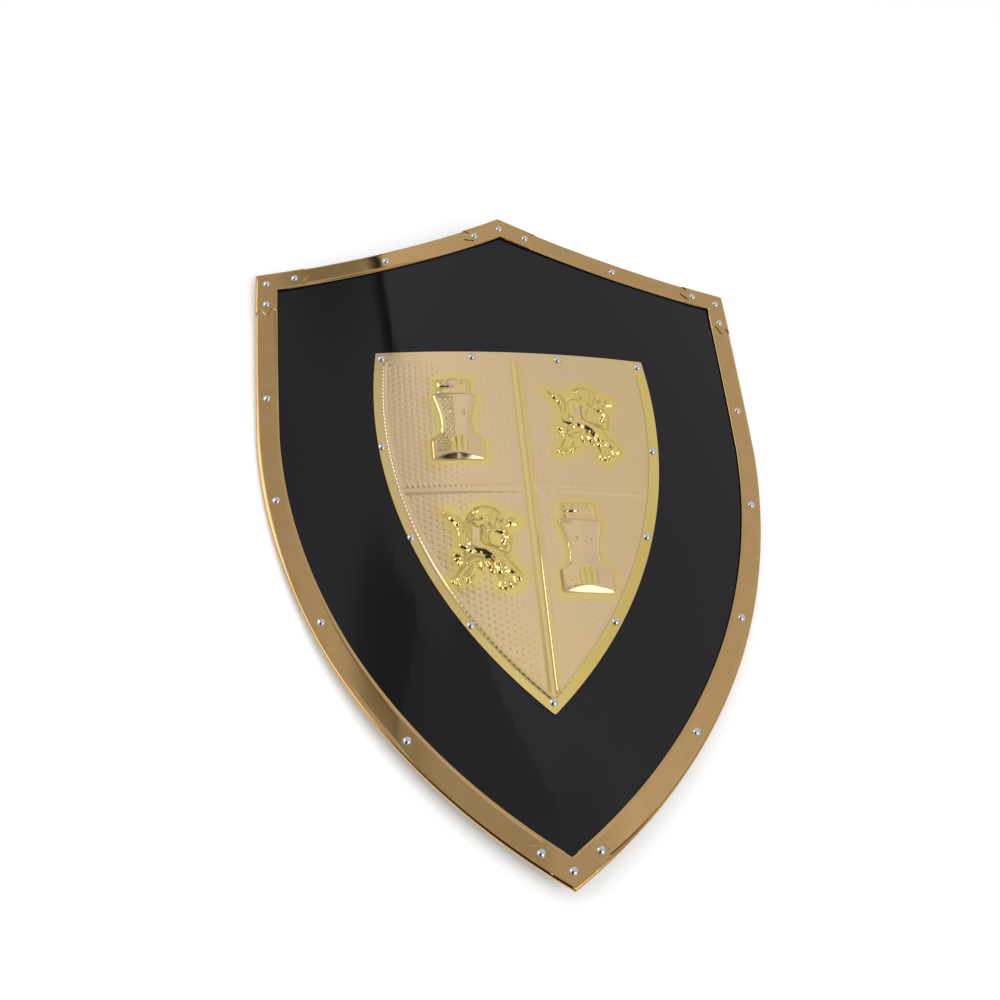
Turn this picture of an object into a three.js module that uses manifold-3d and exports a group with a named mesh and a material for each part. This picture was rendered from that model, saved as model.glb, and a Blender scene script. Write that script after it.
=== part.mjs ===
// Heater shield: a bent sheet of black steel, a gilt rim in eight pieces, a gilt embossed plate, 33 rivets.
// Millimetres, +Z up. It lies face up on its two long edges, with its top towards +Y.
import * as THREE from 'three';
import { mergeVertices } from 'three/addons/utils/BufferGeometryUtils.js';
import Module from 'manifold-3d';

const wasm = await Module();
wasm.setup();

// Flat pattern of the shield, before it is bent: u across, v up from the peak, w out of the front face
const BEND_RADIUS = 944;
const FACET_WIDTH = 40;
const CORNER_U = 238;
const CORNER_V = -62.5;
const TIP_V = -651;
const TOP_SAGITTA = -14.5;
const SHOULDER_END = [235.2, -252.3];
const SHOULDER_SAGITTA = 0.8;
const FLANK_END = [174.6, -463.8];
const FLANK_SAGITTA = 11.8;
const POINT_SAGITTA = 16;

// Sheet thicknesses, and the gap between sheets that touch
const BODY_T = 1.2;
const RIM_T = 0.8;
const PLATE_T = 0.8;
const GAP = 0.3;

// Rows across the sheet that bound the clear pads on the middle of its back
const PAD_ROWS = [-60, -150, -450];

// Rim: flange on the front, narrow return on the back
const RIM_WIDTH = 20;
const RETURN_WIDTH = 6;
const STRIP_END = 24;
const STRIP_END_PEAK = 16;
const STRIP_END_TIP = 20;
const CORNER_ARM = 44;
const PEAK_ARM = 38.5;
const TIP_ARM = 39;
const TONGUE = 5.5;
const NOTCH = -2;
const SPIKE = 2.6;

// Rivets: stations along each edge, measured from the corner they follow
const RIVET_DEPTH = 10;
const RIVET_HEAD_R = 3.6;
const RIVET_HEAD_H = 2.3;
const RIVET_SHANK_R = 1.6;
const RIVET_HOLE_R = 2.3;
const RIVET_TAIL_R = 2.7;
const RIVET_TAIL_H = 1.1;
const TOP_RIVET = 125;
const SIDE_RIVETS = [143.5, 252, 377, 501.5];
const CORNER_RIVET = 36;
const PEAK_RIVET = 33;
const TIP_RIVET = 35;
const RIVET_SIDES = 8;
const HOLE_SIDES = 6;

// Embossed plate
const PLATE_TOP_V = -165;
const PLATE_HALF = 127.5;
const PLATE_TIP_V = -517.5;
const PLATE_PULL_1 = [143.8, -288.4];
const PLATE_PULL_2 = [105.9, -420.1];
// The rivets on the plate were set by eye, so left and right differ a little
const PLATE_RIVETS = [
  [-122.3, -171.3], [123.2, -171.3], [-39.1, -170.7], [42.3, -171.2],
  [-125.6, -266.4], [122.9, -266], [-104.9, -357.3], [102.6, -356],
  [-60.9, -439.3], [61.4, -437.6], [0, -507],
];
const BEAD_INSET = 10;
const BEAD_W = 1.8;
const BEAD_H = 0.7;
const BAR_CENTRE_U = 1;
const BAR_W = 10;
const CROSS_V = -311;
const CROSS_W = 7;
const BAR_H = 1.2;
const RELIEF_H = 3;
const RELIEF_SKIN = 0.8;
const TOWER_FOOT = [-59, -281];
const LION_MIDDLE = [58, -243];
const QUARTER_SHIFT_TOWER = [101, -129.3];
const QUARTER_SHIFT_LION = [-103.5, -127.5];

// Colours
const black = new THREE.MeshStandardMaterial({ color: 0x2a282b, roughness: 0.42, metalness: 0.3 });
const gilt = new THREE.MeshStandardMaterial({ color: 0xb08d55, roughness: 0.2, metalness: 1 });
const giltPlate = new THREE.MeshStandardMaterial({ color: 0xd2b878, roughness: 0.25, metalness: 1 });
const nickel = new THREE.MeshStandardMaterial({ color: 0xc9cdd2, roughness: 0.15, metalness: 1 });

// A circular arc from a to b, as a function of the distance along it; it runs on past both ends
function arc(a, b, sagitta) {
  const chord = Math.hypot(b[0] - a[0], b[1] - a[1]);
  const dir = [(b[0] - a[0]) / chord, (b[1] - a[1]) / chord];
  const left = [-dir[1], dir[0]];
  const radius = (chord * chord / 4 + sagitta * sagitta) / (2 * Math.abs(sagitta));
  const side = Math.sign(sagitta);
  const centre = [0, 1].map((i) => (a[i] + b[i]) / 2 + left[i] * (sagitta - side * radius));
  const start = Math.atan2(a[1] - centre[1], a[0] - centre[0]);
  const length = 2 * radius * Math.asin(chord / 2 / radius);
  const at = (s, depth) => {
    const angle = start - side * s / radius;
    const out = [Math.cos(angle), Math.sin(angle)];
    // inward is to the right of the way the edge runs, clockwise round the shield
    const reach = radius - side * depth;
    return [centre[0] + out[0] * reach, centre[1] + out[1] * reach];
  };
  return { at, length };
}

const topEdge = arc([0, 0], [CORNER_U, CORNER_V], TOP_SAGITTA);
const sideArcs = [
  arc([CORNER_U, CORNER_V], SHOULDER_END, SHOULDER_SAGITTA),
  arc(SHOULDER_END, FLANK_END, FLANK_SAGITTA),
  arc(FLANK_END, [0, TIP_V], POINT_SAGITTA),
];

const sideEdge = {
  length: sideArcs.reduce((sum, piece) => sum + piece.length, 0),
  at(s, depth) {
    let rest = s;
    let index = 0;
    while (index < 2 && rest > sideArcs[index].length) {
      rest -= sideArcs[index].length;
      index += 1;
    }
    return sideArcs[index].at(rest, depth);
  },
};

// Points along an edge between two stations at one depth
function run(edge, from, to, depth, step = 30) {
  const count = Math.max(2, Math.ceil(Math.abs(to - from) / step));
  const points = [];
  for (let i = 0; i <= count; i += 1) {
    points.push(edge.at(from + (to - from) * i / count, depth));
  }
  return points;
}

// Where two offset edges meet: at the corner of the right half, or on the middle line
function meetCorner(depth) {
  let s = topEdge.length - depth;
  let t = depth;
  for (let i = 0; i < 60; i += 1) {
    const p = topEdge.at(s, depth);
    const q = sideEdge.at(t, depth);
    s += (q[0] - p[0]) * 0.7;
    t += (q[1] - p[1]) * 0.7;
  }
  return [s, t];
}

function meetMiddle(edge, start, sign, depth) {
  let s = start;
  for (let i = 0; i < 60; i += 1) {
    s -= sign * edge.at(s, depth)[0] * 0.8;
  }
  return s;
}

function stations(depth) {
  const [top, side] = meetCorner(depth);
  const peak = meetMiddle(topEdge, depth * 0.4, 1, depth);
  const tip = meetMiddle(sideEdge, sideEdge.length - depth * 0.6, -1, depth);
  return { peak, top, side, tip };
}

const mirror = (points) => points.map(([u, v]) => [-u, v]).reverse();

// The whole outline, inset by a depth
function outline(depth) {
  const at = stations(depth);
  const top = run(topEdge, at.peak, at.top, depth);
  const side = run(sideEdge, at.side, at.tip, depth);
  const right = [...top, ...side.slice(1)];
  right[0][0] = 0;
  right[right.length - 1][0] = 0;
  return [...right, ...mirror(right).slice(1, -1)];
}

// Solids in the flat pattern
function toManifold(geometry) {
  const bare = geometry.clone();
  bare.deleteAttribute('normal');
  bare.deleteAttribute('uv');
  const merged = mergeVertices(bare, 1e-5);
  const mesh = new wasm.Mesh({
    numProp: 3,
    vertProperties: new Float32Array(merged.attributes.position.array),
    triVerts: new Uint32Array(merged.index.array),
  });
  return new wasm.Manifold(mesh);
}

function slab(points, low, high) {
  const shape = new THREE.Shape(points.map(([u, v]) => new THREE.Vector2(u, v)));
  const geometry = new THREE.ExtrudeGeometry(shape, { depth: high - low, bevelEnabled: false });
  geometry.translate(0, 0, low);
  return toManifold(geometry);
}

function drill(solid, centres) {
  let result = solid;
  for (const [u, v] of centres) {
    const pin = new THREE.CylinderGeometry(RIVET_HOLE_R, RIVET_HOLE_R, 12, HOLE_SIDES);
    pin.rotateX(Math.PI / 2);
    pin.translate(u, v, 0);
    result = result.subtract(toManifold(pin));
  }
  return result;
}

// A sheet folded over the edge: front flange, wall and back return
function folded(front, wall, back, frontLow, backHigh) {
  const top = frontLow + RIM_T;
  const bottom = backHigh - RIM_T;
  return slab(front, frontLow, top)
    .add(slab(wall, bottom, top))
    .add(slab(back, bottom, backHigh));
}

// A band along one edge with square ends
function band(edge, from, to, outer, inner) {
  return [...run(edge, from, to, outer), ...run(edge, to, from, inner)];
}

function strip(edge, from, to, rivets) {
  const solid = folded(
    band(edge, from, to, 0, RIM_WIDTH),
    band(edge, from, to, 0, RIM_T),
    band(edge, from, to, 0, RETURN_WIDTH),
    GAP,
    -BODY_T - GAP,
  );
  return drill(solid, rivets.map((s) => edge.at(s, RIVET_DEPTH)));
}

// The end of a corner piece's arm: a tongue between two notches, with a spike along each edge
function armEnd(edge, station, way, outer) {
  const profile = [[outer, SPIKE], [2.4, -0.6], [4.9, NOTCH], [7.2, 2.6], [10, TONGUE], [12.8, 2.6],
    [15.2, NOTCH], [17.7, -0.6], [RIM_WIDTH, SPIKE]];
  return profile.map(([depth, reach]) => edge.at(station + way * reach, depth));
}

const CAP_OUT = -(GAP + RIM_T);
const CAP_WALL = -GAP;
const CAP_FRONT = GAP + RIM_T + GAP;
const CAP_BACK = -BODY_T - GAP - RIM_T - GAP;

// A band round a corner: two edges that meet, with a leg along each
function capBand(edges, ways, starts, inner, arm) {
  const leg = (i, depth) => ({ from: starts(depth)[i], to: starts(0)[i] + ways[i] * arm });
  const outer = [leg(0, CAP_OUT), leg(1, CAP_OUT)];
  const back = [leg(0, inner), leg(1, inner)];
  return [
    ...run(edges[0], outer[0].to, outer[0].from, CAP_OUT),
    ...run(edges[1], outer[1].from, outer[1].to, CAP_OUT).slice(1),
    ...run(edges[1], back[1].to, back[1].from, inner),
    ...run(edges[0], back[0].from, back[0].to, inner).slice(1),
  ];
}

const mirroredEdge = (edge) => ({
  length: edge.length,
  at(s, depth) {
    const [u, v] = edge.at(s, depth);
    return [-u, v];
  },
});

// A corner piece with brace-shaped ends on its front flange
function cap(edges, ways, starts, arm) {
  const ends = edges.map((edge, i) => starts(0)[i] + ways[i] * arm);
  const firstOut = run(edges[0], ends[0] + ways[0] * SPIKE, starts(CAP_OUT)[0], CAP_OUT);
  const secondOut = run(edges[1], starts(CAP_OUT)[1], ends[1] + ways[1] * SPIKE, CAP_OUT);
  const secondIn = run(edges[1], ends[1] + ways[1] * SPIKE, starts(RIM_WIDTH)[1], RIM_WIDTH);
  const firstIn = run(edges[0], starts(RIM_WIDTH)[0], ends[0] + ways[0] * SPIKE, RIM_WIDTH);
  const flange = [
    ...firstOut, ...secondOut.slice(1),
    ...armEnd(edges[1], ends[1], ways[1], CAP_OUT).slice(1, -1),
    ...secondIn, ...firstIn.slice(1),
    ...armEnd(edges[0], ends[0], ways[0], CAP_OUT).reverse().slice(1, -1),
  ];
  return folded(
    flange,
    capBand(edges, ways, starts, CAP_WALL, arm),
    capBand(edges, ways, starts, RETURN_WIDTH, arm),
    CAP_FRONT,
    CAP_BACK,
  );
}

// Embossed shapes on the plate, each hollow behind
function plateOutline(depth) {
  const curve = new THREE.CubicBezierCurve(
    new THREE.Vector2(PLATE_HALF, PLATE_TOP_V),
    new THREE.Vector2(...PLATE_PULL_1),
    new THREE.Vector2(...PLATE_PULL_2),
    new THREE.Vector2(0, PLATE_TIP_V),
  );
  const right = curve.getPoints(14).map((p) => [p.x, p.y]);
  const whole = [...right, ...mirror(right).slice(1)];
  return depth === 0 ? whole : inset(whole, depth);
}

// A convex outline, clockwise, moved inwards by a depth
function inset(points, depth) {
  const n = points.length;
  const lines = points.map((p, i) => {
    const q = points[(i + 1) % n];
    const length = Math.hypot(q[0] - p[0], q[1] - p[1]);
    const normal = [(q[1] - p[1]) / length, -(q[0] - p[0]) / length];
    return [...normal, normal[0] * p[0] + normal[1] * p[1] + depth];
  });
  return lines.map((b, i) => {
    const a = lines[(i + n - 1) % n];
    const det = a[0] * b[1] - a[1] * b[0];
    return [(a[2] * b[1] - a[1] * b[2]) / det, (a[0] * b[2] - a[2] * b[0]) / det];
  });
}

// Tower: half profile from the foot up, with three merlons
function towerShape(shrink) {
  const half = [[23, 0], [23.6, 18], [14.2, 25], [13, 34], [14, 46], [18.6, 64], [18.6, 67], [14, 70],
    [14, 84], [8, 84], [8, 80], [5, 80], [5, 85]];
  const right = half.map(([u, v]) => [Math.max(u - shrink, 1), Math.max(v - shrink * 0.8, shrink)]);
  return [...right, ...mirror(right)].map(([u, v]) => [u + TOWER_FOOT[0], v + TOWER_FOOT[1]]);
}

// Lion rampant, from rounded limbs: each from one point to another with a radius at each end
const LION_LIMBS = [
  [[4, 14], [4, 24], 10, 9],
  [[2, 12], [8, -10], 11, 9],
  [[8, -10], [-4, -20], 9, 8],
  [[10, 22], [19, 14], 6, 4],
  [[10, 14], [26, 24], 5, 3],
  [[26, 24], [31, 27], 3, 4],
  [[12, 4], [19, 0], 5, 4],
  [[-6, -18], [-24, -32], 6, 3],
  [[6, -18], [14, -34], 6, 4],
  [[14, -34], [26, -30], 4, 3.5],
  [[-10, -14], [-22, -8], 3, 3],
  [[-22, -8], [-18, 16], 2.6, 2.6],
  [[-18, 16], [-30, 35], 2.6, 3.4],
];

function limb(a, b, ra, rb, sides = 6) {
  const angle = Math.atan2(b[1] - a[1], b[0] - a[0]);
  const points = [];
  for (let i = 0; i <= sides / 2; i += 1) {
    const t = angle - Math.PI / 2 + Math.PI * i / (sides / 2);
    points.push([b[0] + rb * Math.cos(t), b[1] + rb * Math.sin(t)]);
  }
  for (let i = 0; i <= sides / 2; i += 1) {
    const t = angle + Math.PI / 2 + Math.PI * i / (sides / 2);
    points.push([a[0] + ra * Math.cos(t), a[1] + ra * Math.sin(t)]);
  }
  return points;
}

function lionSolid(limbs, shrink, low, high) {
  let solid = null;
  for (const [a, b, ra, rb] of limbs) {
    const grown = [ra - shrink, rb - shrink].map((r) => Math.max(r, 0.8));
    const points = limb(a, b, ...grown).map(([u, v]) => [u + LION_MIDDLE[0], v + LION_MIDDLE[1]]);
    const part = slab(points, low, high);
    solid = solid ? solid.add(part) : part;
  }
  return solid;
}

function embossedPlate() {
  const low = GAP;
  const top = GAP + PLATE_T;
  const sunk = low - 1;
  let solid = slab(plateOutline(0), low, top);
  const bead = slab(plateOutline(BEAD_INSET), low, top + BEAD_H)
    .subtract(slab(plateOutline(BEAD_INSET + BEAD_W), sunk, top + 3));
  const field = plateOutline(BEAD_INSET + 0.4);
  const bars = slab([[BAR_CENTRE_U - BAR_W / 2, PLATE_TIP_V], [BAR_CENTRE_U - BAR_W / 2, PLATE_TOP_V],
    [BAR_CENTRE_U + BAR_W / 2, PLATE_TOP_V], [BAR_CENTRE_U + BAR_W / 2, PLATE_TIP_V]], low, top + BAR_H)
    .add(slab([[-140, CROSS_V - CROSS_W / 2], [-140, CROSS_V + CROSS_W / 2],
      [140, CROSS_V + CROSS_W / 2], [140, CROSS_V - CROSS_W / 2]], low, top + BAR_H))
    .intersect(slab(field, low - 1, top + 5));
  solid = solid.add(bead).add(bars);
  const tower = slab(towerShape(0), low, top + RELIEF_H);
  const towerBack = slab(towerShape(RELIEF_SKIN), sunk, top + RELIEF_H - RELIEF_SKIN);
  const lion = lionSolid(LION_LIMBS, 0, low, top + RELIEF_H);
  const lionBack = lionSolid(
    LION_LIMBS.slice(0, 3), RELIEF_SKIN, sunk, top + RELIEF_H - RELIEF_SKIN,
  );
  for (const [shape, hollow, shift] of [
    [tower, towerBack, [0, 0]], [tower, towerBack, QUARTER_SHIFT_TOWER],
    [lion, lionBack, [0, 0]], [lion, lionBack, QUARTER_SHIFT_LION],
  ]) {
    const move = [...shift, 0];
    solid = solid.add(shape.translate(move)).subtract(hollow.translate(move));
  }
  return drill(solid, PLATE_RIVETS);
}

// The flat pattern is cut on the fold lines, so each facet of the bend stays flat
const lastFacet = Math.ceil((CORNER_U + 4 - FACET_WIDTH / 2) / FACET_WIDTH);
const near = (x, y) => Math.abs(x - y) < 1e-3;

function cellTriangles(solid, facet, lowV, highV) {
  const middle = facet * FACET_WIDTH;
  const box = new THREE.BoxGeometry(FACET_WIDTH, highV - lowV, 100);
  box.translate(middle, (lowV + highV) / 2, 0);
  const mesh = solid.intersect(toManifold(box)).getMesh();
  const at = (i) => Array.from(mesh.vertProperties.subarray(i * mesh.numProp, i * mesh.numProp + 3));
  const walls = [
    [0, middle - FACET_WIDTH / 2], [0, middle + FACET_WIDTH / 2], [1, lowV], [1, highV],
  ];
  const cells = [];
  for (let i = 0; i < mesh.triVerts.length; i += 3) {
    const tri = [at(mesh.triVerts[i]), at(mesh.triVerts[i + 1]), at(mesh.triVerts[i + 2])];
    if (!walls.some(([axis, value]) => tri.every((p) => near(p[axis], value)))) {
      cells.push({ tri, facet });
    }
  }
  return cells;
}

// Splits an edge that lies on a cut wherever the cell next door has a corner on it
function matchNeighbours(cells, axis, value) {
  const other = 1 - axis;
  const onLine = new Map();
  for (const p of cells.flatMap(({ tri }) => tri)) {
    if (near(p[axis], value)) {
      onLine.set(`${p[other].toFixed(3)},${p[2].toFixed(3)}`, p);
    }
  }
  const corners = [...onLine.values()];
  const out = [];
  for (const { tri, facet } of cells) {
    const i = [0, 1, 2].find((k) => near(tri[k][axis], value) && near(tri[(k + 1) % 3][axis], value));
    if (i === undefined) {
      out.push({ tri, facet });
      continue;
    }
    const [a, b, c] = [tri[i], tri[(i + 1) % 3], tri[(i + 2) % 3]];
    const [dv, dw] = [b[other] - a[other], b[2] - a[2]];
    const length = Math.hypot(dv, dw);
    const between = corners
      .map((p) => ({
        p,
        t: ((p[other] - a[other]) * dv + (p[2] - a[2]) * dw) / length,
        off: ((p[other] - a[other]) * dw - (p[2] - a[2]) * dv) / length,
      }))
      .filter(({ t, off }) => t > 2e-3 && t < length - 2e-3 && Math.abs(off) < 1e-3)
      .sort((x, y) => x.t - y.t)
      .map(({ p }) => p);
    const stops = [a, ...between, b];
    for (let k = 0; k + 1 < stops.length; k += 1) {
      out.push({ tri: [stops[k], stops[k + 1], c], facet });
    }
  }
  return out;
}

// The bend: each facet is the flat between two fold lines on the cylinder
function bend([u, v, w], facet = Math.round(u / FACET_WIDTH)) {
  const middle = facet * FACET_WIDTH / BEND_RADIUS;
  const half = FACET_WIDTH / 2 / BEND_RADIUS;
  const along = (u - facet * FACET_WIDTH) * Math.sin(half) / half * (1 + w / BEND_RADIUS);
  const reach = (BEND_RADIUS + w) * Math.cos(half);
  return [
    reach * Math.sin(middle) + along * Math.cos(middle),
    v,
    reach * Math.cos(middle) - along * Math.sin(middle) - BEND_RADIUS,
  ];
}

function bent(solid, cuts = []) {
  const rows = [200, ...cuts, -900];
  let cells = [];
  for (let facet = -lastFacet; facet <= lastFacet; facet += 1) {
    for (let i = 0; i + 1 < rows.length; i += 1) {
      cells.push(...cellTriangles(solid, facet, rows[i + 1], rows[i]));
    }
  }
  for (let i = -lastFacet; i < lastFacet; i += 1) {
    cells = matchNeighbours(cells, 0, (i + 0.5) * FACET_WIDTH);
  }
  for (const cut of cuts) {
    cells = matchNeighbours(cells, 1, cut);
  }
  return cells.map(({ tri, facet }) => tri.map((p) => bend(p, facet)));
}

// A rivet: domed head, shank and flattened tail, standing square to its facet
function rivet([u, v], headAt) {
  const tail = -BODY_T - GAP;
  const h = RIVET_HEAD_H;
  const r = RIVET_HEAD_R;
  const profile = [[0, tail - RIVET_TAIL_H], [RIVET_TAIL_R, tail - RIVET_TAIL_H], [RIVET_TAIL_R, tail],
    [RIVET_SHANK_R, tail], [RIVET_SHANK_R, headAt], [r, headAt], [r * 0.7, headAt + h * 0.72],
    [0, headAt + h]];
  const lathe = new THREE.LatheGeometry(profile.map(([x, y]) => new THREE.Vector2(x, y)), RIVET_SIDES);
  lathe.rotateX(Math.PI / 2);
  const flat = toManifold(lathe).getMesh();
  const facet = Math.round(u / FACET_WIDTH);
  const angle = facet * FACET_WIDTH / BEND_RADIUS;
  const foot = bend([u, v, 0]);
  const triangles = [];
  for (let i = 0; i < flat.triVerts.length; i += 3) {
    triangles.push([0, 1, 2].map((k) => {
      const j = flat.triVerts[i + k] * flat.numProp;
      const [x, y, z] = flat.vertProperties.subarray(j, j + 3);
      return [
        foot[0] + x * Math.cos(angle) + z * Math.sin(angle),
        foot[1] + y,
        foot[2] - x * Math.sin(angle) + z * Math.cos(angle),
      ];
    }));
  }
  return triangles;
}

// All pieces, as triangles in the bent but level frame
const pieces = [];
const add = (name, material, triangles) => pieces.push({ name, material, triangles });

const cornerStarts = (depth) => {
  const at = stations(depth);
  return [at.top, at.side];
};
const peakStarts = (depth) => [stations(depth).peak, stations(depth).peak];
const tipStarts = (depth) => [stations(depth).tip, stations(depth).tip];
const topStations = [PEAK_RIVET, TOP_RIVET, topEdge.length - CORNER_RIVET];
const sideStations = [CORNER_RIVET, ...SIDE_RIVETS, sideEdge.length - TIP_RIVET];
const cornerRivet = [CORNER_U - RIVET_DEPTH, CORNER_V - RIVET_DEPTH - 1.5];
const peakRivet = [0, -13.3];
const tipRivet = [0, TIP_V + 14];

const topRivets = topStations.map((s) => topEdge.at(s, RIVET_DEPTH));
const sideRivets = sideStations.map((s) => sideEdge.at(s, RIVET_DEPTH));
const rimPairs = [...topRivets, cornerRivet, ...sideRivets];
const capped = (i) => i === 0 || (i >= 2 && i <= 4) || i === rimPairs.length - 1;
const rimRivets = [
  ...rimPairs.flatMap(([u, v], i) => [[[-u, v], capped(i)], [[u, v], capped(i)]]),
  [peakRivet, true],
  [tipRivet, true],
];

add('body_sheet', black, bent(drill(
  slab(outline(GAP + RIM_T), -BODY_T, 0),
  [...rimRivets.map(([centre]) => centre), ...PLATE_RIVETS],
), PAD_ROWS));

for (const [side, flip] of [['right', (edge) => edge], ['left', mirroredEdge]]) {
  const top = flip(topEdge);
  const flank = flip(sideEdge);
  add(`rim_strip_top_${side}`, gilt, bent(strip(
    top, STRIP_END_PEAK, topEdge.length - STRIP_END, topStations,
  )));
  add(`rim_strip_side_${side}`, gilt, bent(strip(
    flank, STRIP_END, sideEdge.length - STRIP_END_TIP, sideStations,
  )));
  add(`rim_corner_${side}`, gilt, bent(drill(
    cap([top, flank], [-1, 1], cornerStarts, CORNER_ARM),
    [topRivets[2], cornerRivet, sideRivets[0]].map(([u, v]) => [side === 'left' ? -u : u, v]),
  )));
}
add('rim_corner_peak', gilt, bent(drill(
  cap([mirroredEdge(topEdge), topEdge], [1, 1], peakStarts, PEAK_ARM),
  [topRivets[0], [-topRivets[0][0], topRivets[0][1]], peakRivet],
)));
const lastSide = sideRivets[sideRivets.length - 1];
add('rim_corner_tip', gilt, bent(drill(
  cap([sideEdge, mirroredEdge(sideEdge)], [-1, -1], tipStarts, TIP_ARM),
  [lastSide, [-lastSide[0], lastSide[1]], tipRivet],
)));
add('face_plate', giltPlate, bent(embossedPlate()));

const number = (i) => String(i + 1).padStart(2, '0');
rimRivets.forEach(([centre, onCap], i) => {
  const headAt = onCap ? CAP_FRONT + RIM_T + GAP : GAP + RIM_T + GAP;
  add(`rivet_rim_${number(i)}`, nickel, rivet(centre, headAt));
});
PLATE_RIVETS.forEach((centre, i) => {
  add(`rivet_plate_${number(i)}`, nickel, rivet(centre, GAP + PLATE_T + GAP));
});

// How it lies: tipped so that the floor touches the side edges under the centre of mass
function centreOfMass() {
  const sum = [0, 0, 0, 0];
  for (const { triangles } of pieces) {
    for (const [a, b, c] of triangles) {
      const volume = (a[0] * (b[1] * c[2] - b[2] * c[1]) + a[1] * (b[2] * c[0] - b[0] * c[2])
        + a[2] * (b[0] * c[1] - b[1] * c[0])) / 6;
      [0, 1, 2].forEach((k) => {
        sum[k] += volume * (a[k] + b[k] + c[k]) / 4;
      });
      sum[3] += volume;
    }
  }
  return sum.slice(0, 3).map((x) => x / sum[3]);
}

function restingPitch() {
  const centre = centreOfMass();
  const points = pieces.flatMap(({ triangles }) => triangles.flat().map((p) => [p[1], p[2]]));
  points.sort((a, b) => a[0] - b[0] || a[1] - b[1]);
  const hull = [];
  for (const p of points) {
    while (hull.length > 1) {
      const [a, b] = hull.slice(-2);
      if ((b[0] - a[0]) * (p[1] - a[1]) - (b[1] - a[1]) * (p[0] - a[0]) > 0) {
        break;
      }
      hull.pop();
    }
    hull.push(p);
  }
  for (let i = 0; i + 1 < hull.length; i += 1) {
    const [a, b] = [hull[i], hull[i + 1]];
    const length = Math.hypot(b[0] - a[0], b[1] - a[1]);
    const foot = ((centre[1] - a[0]) * (b[0] - a[0]) + (centre[2] - a[1]) * (b[1] - a[1])) / length;
    if (foot >= 0 && foot <= length) {
      return -Math.atan2(b[1] - a[1], b[0] - a[0]);
    }
  }
  return 0;
}

const pitch = restingPitch();
const turned = ([x, y, z]) => [
  x,
  y * Math.cos(pitch) - z * Math.sin(pitch),
  y * Math.sin(pitch) + z * Math.cos(pitch),
];
for (const piece of pieces) {
  piece.triangles = piece.triangles.map((tri) => tri.map(turned));
}
const low = [Infinity, Infinity, Infinity];
const high = [-Infinity, -Infinity, -Infinity];
for (const piece of pieces) {
  for (const p of piece.triangles.flat()) {
    [0, 1, 2].forEach((k) => {
      low[k] = Math.min(low[k], p[k]);
      high[k] = Math.max(high[k], p[k]);
    });
  }
}
const shift = [-(low[0] + high[0]) / 2, -(low[1] + high[1]) / 2, -low[2]];

const group = new THREE.Group();
for (const { name, material, triangles } of pieces) {
  const geometry = new THREE.BufferGeometry();
  const flat = triangles.flat().flatMap((p) => p.map((x, k) => x + shift[k]));
  geometry.setAttribute('position', new THREE.Float32BufferAttribute(flat, 3));
  const merged = mergeVertices(geometry, 1e-3);
  merged.computeVertexNormals();
  const mesh = new THREE.Mesh(merged, material.clone());
  mesh.name = name;
  group.add(mesh);
}

export default group;
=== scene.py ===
# Heater shield lying face up: black painted sheet, gilt rim, embossed gilt plate and nickel rivets
import math

import bpy
import numpy as np
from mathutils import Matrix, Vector


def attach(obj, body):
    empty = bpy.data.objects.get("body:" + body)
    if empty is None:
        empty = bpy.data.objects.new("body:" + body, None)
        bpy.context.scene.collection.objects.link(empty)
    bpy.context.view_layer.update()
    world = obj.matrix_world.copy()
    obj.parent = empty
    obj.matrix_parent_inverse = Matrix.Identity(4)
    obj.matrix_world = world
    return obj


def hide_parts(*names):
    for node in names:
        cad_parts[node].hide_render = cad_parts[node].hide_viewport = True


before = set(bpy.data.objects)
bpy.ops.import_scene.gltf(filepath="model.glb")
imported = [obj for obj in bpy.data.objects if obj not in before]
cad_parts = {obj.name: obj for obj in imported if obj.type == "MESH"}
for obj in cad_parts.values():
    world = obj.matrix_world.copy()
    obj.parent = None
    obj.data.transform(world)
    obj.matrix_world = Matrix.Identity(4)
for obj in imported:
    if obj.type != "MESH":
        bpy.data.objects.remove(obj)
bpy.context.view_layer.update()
print("frame loaded")

# The flat pattern has u across, v up from the peak and w out of the front face, in millimetres
mm = 0.001
curve = {"radius": 944.0, "pitch": 0.030059766744130616, "shift": (0.0, 325.358164, 39.2760966)}
outline = {
    "corner": (238.0, -62.5), "topSagitta": -14.5,
    "shoulder": (235.2, -252.3), "shoulderSagitta": 0.8,
    "flank": (174.6, -463.8), "flankSagitta": 11.8,
    "tip": (0.0, -651.0), "pointSagitta": 16.0,
}


def bend(flat):
    # rolls flat-pattern points onto the shield's curve, tips them to how it lies, and returns metres
    u, v, w = np.asarray(flat, float).reshape(-1, 3).T
    reach = curve["radius"] + w
    x = reach * np.sin(u / curve["radius"])
    z = reach * np.cos(u / curve["radius"]) - curve["radius"]
    tip = curve["pitch"]
    y, z = v * np.cos(tip) - z * np.sin(tip), v * np.sin(tip) + z * np.cos(tip)
    return (np.stack([x, y, z], 1) + curve["shift"]) * mm


def arcEdge(a, b, sagitta):
    # a point at a distance along the arc from a to b, and at a depth to the right of it
    chord = math.dist(a, b)
    along = ((b[0] - a[0]) / chord, (b[1] - a[1]) / chord)
    left = (-along[1], along[0])
    radius = (chord * chord / 4 + sagitta * sagitta) / (2 * abs(sagitta))
    side = math.copysign(1, sagitta)
    centre = [(a[i] + b[i]) / 2 + left[i] * (sagitta - side * radius) for i in (0, 1)]
    start = math.atan2(a[1] - centre[1], a[0] - centre[0])

    def at(s, depth):
        angle = start - side * s / radius
        reach = radius - side * depth
        return centre[0] + reach * math.cos(angle), centre[1] + reach * math.sin(angle)

    return at, 2 * radius * math.asin(chord / 2 / radius)


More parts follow.
